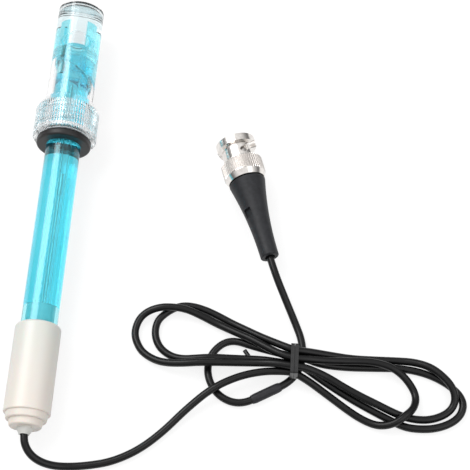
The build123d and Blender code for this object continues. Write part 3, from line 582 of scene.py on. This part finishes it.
def newMesh(name, points, faces, finish):
    mesh = bpy.data.meshes.new(name)
    mesh.from_pydata([tuple(p) for p in points], [], faces)
    mesh.validate()
    body = bmesh.new()
    body.from_mesh(mesh)
    bmesh.ops.remove_doubles(body, verts=body.verts, dist=meshing["weld"])
    bmesh.ops.recalc_face_normals(body, faces=body.faces)
    body.to_mesh(mesh)
    body.free()
    for face in mesh.polygons:
        face.use_smooth = True
    # a rim stays sharp, or the light would bend wrongly all along a long clear side
    mesh.set_sharp_from_angle(angle=meshing["rim"])
    thing = bpy.data.objects.new(name, mesh)
    bpy.context.collection.objects.link(thing)
    thing.data.materials.append(finishes[finish])
    return thing


# The sleeve shrunk on the small loop, along the cable's own line: a rim at each end, and from
# there the sleeve swells to its radius within the fade
sleeve = {
    "radius": 1.6, "from": (70.2, -62.4), "to": (79.2, -57.0), "sides": 28,
    "gap": 0.04, "rim": 0.14, "fade": 0.8, "swell": 0.5,
}


def makeSleeve():
    # the small loop lies in the last quarter of the cable
    tail = cableLine[len(cableLine) * 3 // 4:]

    def nearest(spot):
        return min(range(len(tail)), key=lambda i: (tail[i].xy - Vector(spot) * mm).length)

    ends = (nearest(sleeve["from"]), nearest(sleeve["to"]))
    path = tail[min(ends):max(ends) + 1]
    steps = [0.0]
    for a, b in zip(path, path[1:]):
        steps.append(steps[-1] + (b - a).length / mm)
    points, faces = [], []
    sides = sleeve["sides"]
    bore = cable["diameter"] / 2 + sleeve["gap"]
    lip = bore + sleeve["rim"]
    rings = [(0, bore)]
    for i, step in enumerate(steps):
        near = min(step, steps[-1] - step)
        grow = min(1.0, near / sleeve["fade"])
        rings.append((i, lip + (sleeve["radius"] - lip) * grow ** sleeve["swell"]))
    rings.append((len(path) - 1, bore))
    for i, radius in rings:
        way = (path[min(i + 1, len(path) - 1)] - path[max(i - 1, 0)]).normalized()
        side = way.cross(Vector((0, 0, 1))).normalized()
        over = side.cross(way)
        for k in range(sides):
            angle = 2 * pi * k / sides
            points.append(path[i] + (side * cos(angle) + over * sin(angle)) * radius * mm)
    for r in range(len(rings) - 1):
        for k in range(sides):
            n = (k + 1) % sides
            faces.append((r * sides + k, r * sides + n, (r + 1) * sides + n, (r + 1) * sides + k))
    # the bore closes the piece into one shell
    last = (len(rings) - 1) * sides
    for k in range(sides):
        n = (k + 1) % sides
        faces.append((last + k, last + n, n, k))
    return newMesh("shrinkSleeve", points, faces, "sleeve")


sleeveThing = makeSleeve()

# The soaking liquid fills the bottle's end up to a slanted surface, round the guard, and the
# filling gel fills the tube from its rear bung to the guard's spigot. Both reach a hair into the
# wall round them, so that light passes from one to the other. Rings are shares of the radius, the
# creep says how close to the wall the liquid starts to climb, and bevel is a share of the lip
liquid = {
    "radius": 7.13, "level": 124.8, "lean": -0.6, "tilt": 0.35, "end": 151.43,
    "lip": 0.5, "creep": 6, "bevel": 0.3, "rings": (0.3, 0.6, 0.8, 0.92, 1.0), "sides": 96,
}
gel = {"radius": 4.83, "start": 36.0, "end": 124.25, "sides": 64}


def roundBody(name, rings, sides, finish):
    # rings are functions of the angle that give a station and a radius
    points, faces = [], []
    for k in range(sides):
        angle = 2 * pi * k / sides
        for ring in rings:
            station, radius = ring(angle)
            points.append(onShaft(station, cos(angle) * radius, sin(angle) * radius))
    count = len(rings)
    for k in range(sides):
        n = (k + 1) % sides
        for a in range(count - 1):
            faces.append((k * count + a, n * count + a, n * count + a + 1, k * count + a + 1))
    for a in (0, count - 1):
        station = sum(rings[a](2 * pi * k / sides)[0] for k in range(sides)) / sides
        middle = len(points)
        points.append(onShaft(station))
        faces += [(k * count + a, (k + 1) % sides * count + a, middle) for k in range(sides)]
    return newMesh(name, points, faces, finish)


def makeLiquid():
    radius, lip = liquid["radius"], liquid["lip"]

    def surface(share, drop):
        # the liquid's open surface leans, and creeps up a little at the wall
        def ring(angle):
            lean = liquid["lean"] * cos(angle) + liquid["tilt"] * sin(angle)
            return liquid["level"] + (lean * share * radius + drop), radius * share
        return ring

    bevel = lip * liquid["bevel"]
    rings = [surface(share, lip * (1 - share ** liquid["creep"])) for share in liquid["rings"]]
    rings += [
        lambda angle: (liquid["end"] - lip, radius),
        lambda angle: (liquid["end"] - bevel, radius - bevel),
        lambda angle: (liquid["end"], radius - lip),
    ]
    return roundBody("soakingLiquid", rings, liquid["sides"], "liquid")


def makeGel():
    rings = [lambda angle: (gel["start"], gel["radius"]), lambda angle: (gel["end"], gel["radius"])]
    return roundBody("fillingGel", rings, gel["sides"], "gel")


liquidThing = makeLiquid()
gelThing = makeGel()

# Screw threads: one tree makes a ridge that winds round the electrode's axis.
# The bottle's short ridge runs between the cap's turns while the cap backs off
threads = {
    "bottleThread": {"radius": 8.18, "ridge": 0.34, "start": 102.4, "turns": 1.15, "body": "bottle_set"},
    "capThread": {"radius": 8.68, "ridge": 0.32, "start": 101.15, "turns": 3.2, "body": "cap_set"},
    "pitch": 2.5, "steps": 72, "sides": 8, "slot": "clear_plastic",
}


def threadTree():
    tree = bpy.data.node_groups.new("screw thread", "GeometryNodeTree")
    kinds = {
        "Geometry": "Geometry", "Radius": "Float", "Ridge": "Float", "Pitch": "Float", "Turns": "Float",
        "Place": "Vector", "Turn": "Vector", "Finish": "Material",
    }
    for name, kind in kinds.items():
        tree.interface.new_socket(name, in_out="INPUT", socket_type="NodeSocket" + kind)
    tree.interface.new_socket("Geometry", in_out="OUTPUT", socket_type="NodeSocketGeometry")
    new, link = tree.nodes.new, tree.links.new
    source, result = new("NodeGroupInput"), new("NodeGroupOutput")
    rise = new("ShaderNodeMath")
    rise.operation = "MULTIPLY"
    link(source.outputs["Pitch"], rise.inputs[0])
    link(source.outputs["Turns"], rise.inputs[1])
    spiral = new("GeometryNodeCurveSpiral")
    spiral.inputs["Resolution"].default_value = threads["steps"]
    # wound the other way than it comes, for a right-hand thread
    spiral.inputs["Reverse"].default_value = True
    link(source.outputs["Turns"], spiral.inputs["Rotations"])
    link(source.outputs["Radius"], spiral.inputs["Start Radius"])
    link(source.outputs["Radius"], spiral.inputs["End Radius"])
    link(rise.outputs[0], spiral.inputs["Height"])
    ridge = new("GeometryNodeCurvePrimitiveCircle")
    ridge.inputs["Resolution"].default_value = threads["sides"]
    link(source.outputs["Ridge"], ridge.inputs["Radius"])
    sweep = new("GeometryNodeCurveToMesh")
    sweep.inputs["Fill Caps"].default_value = True
    link(spiral.outputs[0], sweep.inputs["Curve"])
    link(ridge.outputs[0], sweep.inputs["Profile Curve"])
    move = new("GeometryNodeTransform")
    link(sweep.outputs[0], move.inputs["Geometry"])
    link(source.outputs["Place"], move.inputs["Translation"])
    link(source.outputs["Turn"], move.inputs["Rotation"])
    real, coat = new("GeometryNodeRealizeInstances"), new("GeometryNodeSetMaterial")
    link(move.outputs[0], real.inputs[0])
    link(real.outputs[0], coat.inputs["Geometry"])
    link(source.outputs["Finish"], coat.inputs["Material"])
    link(coat.outputs[0], result.inputs[0])
    return tree


def makeThreads():
    tree = threadTree()
    sockets = {item.name: item.identifier for item in tree.interface.items_tree if item.in_out == "INPUT"}
    made = []
    for name in ("bottleThread", "capThread"):
        facts = threads[name]
        carrier = bpy.data.objects.new(name + "Carrier", bpy.data.meshes.new(name + "Carrier"))
        bpy.context.collection.objects.link(carrier)
        step = carrier.modifiers.new("thread", "NODES")
        step.node_group = tree
        step[sockets["Radius"]] = facts["radius"] * mm
        step[sockets["Ridge"]] = facts["ridge"] * mm
        step[sockets["Pitch"]] = threads["pitch"] * mm
        step[sockets["Turns"]] = facts["turns"]
        step[sockets["Place"]] = tuple(onShaft(facts["start"]))
        step[sockets["Turn"]] = (shaft["tilt"] - pi / 2, 0.0, 0.0)
        step[sockets["Finish"]] = finishes["clearCap"]
        graph = bpy.context.evaluated_depsgraph_get()
        mesh = bpy.data.meshes.new_from_object(carrier.evaluated_get(graph))
        carrier.modifiers.remove(step)
        bpy.data.objects.remove(carrier)
        for face in mesh.polygons:
            face.use_smooth = True
        thing = bpy.data.objects.new(name, mesh)
        bpy.context.collection.objects.link(thing)
        made.append((thing, facts))
    return made


threadThings = makeThreads()
print("pieces made")

# What rides on what
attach(cableThing, "root")
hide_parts("cable_lead", "cable_hank", "cable_loop", "cable_tail")
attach(sleeveThing, "root")
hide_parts("shrink_sleeve")
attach(liquidThing, "bottle_set")
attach(gelThing, "root")
for thread, facts in threadThings:
    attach(thread, facts["body"])

# A pale floor and world show white where they are seen, through clear pieces too, and light the
# part more softly than that. Lengths here are in metres
stage = {
    "middle": (0.06, 0, 0), "size": 6, "floor": 0.28, "glow": 0.79, "ambient": 0.6,
    "horizon": 0.2, "sky": (0.25, 0.75), "bounces": 32,
}


def rayKinds(f):
    # each is 1 for a ray of its kind: from the camera, mirrored, or come through something clear
    node = f.tree.nodes.new("ShaderNodeLightPath")
    names = ("Is Camera Ray", "Is Glossy Ray", "Is Transmission Ray")
    return (Wire(f.tree, node.outputs[name]) for name in names)


def makeStage():
    bpy.ops.mesh.primitive_plane_add(size=stage["size"], location=stage["middle"])
    floor = bpy.context.object
    floor.name = "floor"
    f = Finish("pale floor")
    direct, mirrored, passed = rayKinds(f)
    shown = (direct + mirrored + passed).clamp()
    lit = f.node("ShaderNodeBsdfDiffuse", None, {"Color": (stage["floor"],) * 3 + (1,)})
    glow = f.node("ShaderNodeEmission", None, {"Color": (1, 1, 1, 1), "Strength": shown * stage["glow"]})
    both = f.node("ShaderNodeAddShader", None, {0: lit, 1: glow})
    f.node("ShaderNodeOutputMaterial", None, {"Surface": both})
    floor.data.materials.append(f.material)


def makeWorld():
    world = bpy.data.worlds.new("studio")
    world.use_nodes = True
    bpy.context.scene.world = world
    f = Finish("studio", world.node_tree)
    direct, mirrored, passed = rayKinds(f)
    # what is mirrored is darker near the horizon, so that round faces show in metal
    up = f.axis(f.node("ShaderNodeTexCoord", output=0), 2)
    sky = up.step(*stage["sky"]) * (1 - stage["horizon"]) + stage["horizon"]
    shown = (direct + passed).clamp()
    mirrored = mirrored * (1 - shown)
    strength = shown + mirrored * sky + (1 - shown - mirrored) * stage["ambient"]
    shine = f.node("ShaderNodeBackground", None, {"Color": (1, 1, 1, 1), "Strength": strength})
    f.node("ShaderNodeOutputWorld", None, {"Surface": shine})


lamps = {
    "softbox": {"place": (-0.35, 0.25, 0.65), "size": 0.5, "watts": 3.2},
    "fill": {"place": (0.55, -0.25, 0.6), "size": 0.7, "watts": 1.4},
}


def makeLamps():
    for name, facts in lamps.items():
        lamp = bpy.data.objects.new(name, bpy.data.lights.new(name, "AREA"))
        bpy.context.collection.objects.link(lamp)
        lamp.data.size = facts["size"]
        lamp.data.energy = facts["watts"]
        lamp.location = facts["place"]
        way = Vector(stage["middle"]) - Vector(facts["place"])
        lamp.rotation_euler = way.to_track_quat("-Z", "Y").to_euler()


makeStage()
makeWorld()
makeLamps()
bpy.context.scene.view_settings.view_transform = "Standard"
# light has to pass the bottle, the liquid, the tube and the stem, each with two walls
bpy.context.scene.cycles.max_bounces = stage["bounces"]
bpy.context.scene.cycles.transmission_bounces = stage["bounces"]
print("stage set")
